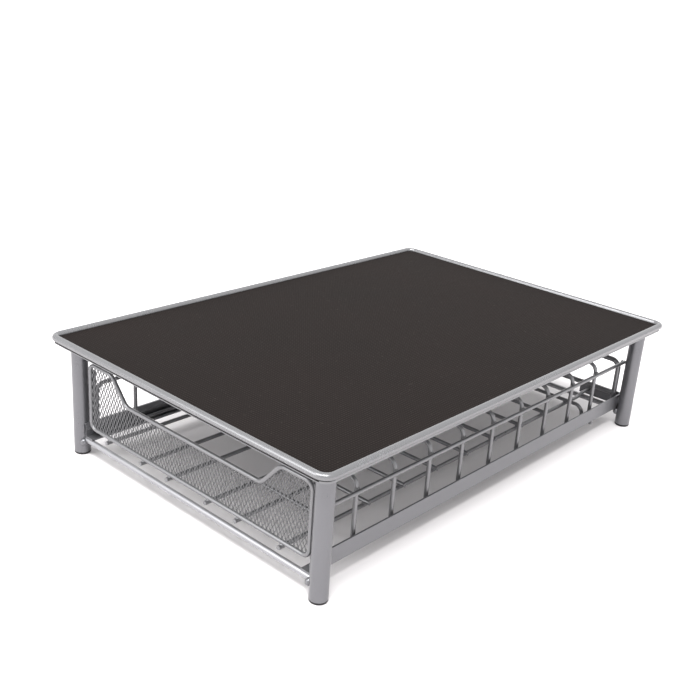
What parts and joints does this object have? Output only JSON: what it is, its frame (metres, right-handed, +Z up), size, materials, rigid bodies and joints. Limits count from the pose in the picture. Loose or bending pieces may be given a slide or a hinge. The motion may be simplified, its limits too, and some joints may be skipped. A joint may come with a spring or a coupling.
{
  "type": "coffee pod drawer",
  "caption": "Low steel stand with a matted top platform for a coffee machine, and a wire pod drawer that slides out of its front on rails.",
  "frame": {"origin": "on the ground, under the middle of the stand: centre of the bounding box's bottom", "axes": "+Z up; X is the width, +X to the right seen from the front; Y is the depth, and the drawer's front faces -Y"},
  "size_m": [0.32, 0.472, 0.1085],
  "materials": {
    "stand_paint": "satin silver-grey powder coat",
    "rim_paint": "satin silver-grey powder coat",
    "wire_paint": "satin silver-grey powder coat on wire",
    "mesh_paint": "satin silver-grey powder coat on expanded sheet",
    "mat_rubber": "matt near-black with a fine woven emboss",
    "cap_plastic": "matt black"
  },
  "bodies": {
    "stand": {"platform_rim": "rim_paint", "platform_deck": "stand_paint", "top_mat": "mat_rubber", "leg_front_left": "stand_paint", "leg_front_right": "stand_paint", "leg_rear_left": "stand_paint", "leg_rear_right": "stand_paint", "foot_cap_front_left": "cap_plastic", "foot_cap_front_right": "cap_plastic", "foot_cap_rear_left": "cap_plastic", "foot_cap_rear_right": "cap_plastic", "rail_left": "stand_paint", "rail_right": "stand_paint", "front_cross_rod": "stand_paint", "rear_cross_rod": "stand_paint"},
    "drawer": {"front_frame": "wire_paint", "front_mesh": "mesh_paint", "upper_wire_left": "wire_paint", "upper_wire_right": "wire_paint", "runner_wire_left": "wire_paint", "runner_wire_right": "wire_paint", "hoop_1": "wire_paint", "hoop_2": "wire_paint", "hoop_3": "wire_paint", "hoop_4": "wire_paint", "hoop_5": "wire_paint", "hoop_6": "wire_paint", "hoop_7": "wire_paint", "hoop_8": "wire_paint", "hoop_9": "wire_paint", "floor_wire_1": "wire_paint", "floor_wire_2": "wire_paint", "floor_wire_3": "wire_paint", "floor_wire_4": "wire_paint", "floor_wire_5": "wire_paint", "floor_wire_6": "wire_paint", "cross_wire_1": "wire_paint", "cross_wire_2": "wire_paint", "cross_wire_3": "wire_paint", "cross_wire_4": "wire_paint", "cross_wire_5": "wire_paint", "cross_wire_6": "wire_paint", "cross_wire_7": "wire_paint", "cross_wire_8": "wire_paint", "keeper_wire": "wire_paint", "rear_frame": "wire_paint", "rear_bar": "wire_paint"}
  },
  "joints": [
    {"name": "drawer_slide", "type": "slide", "parent": "stand", "child": "drawer", "axis": [0, -1, 0], "range_m": [0, 0.375]}
  ]
}
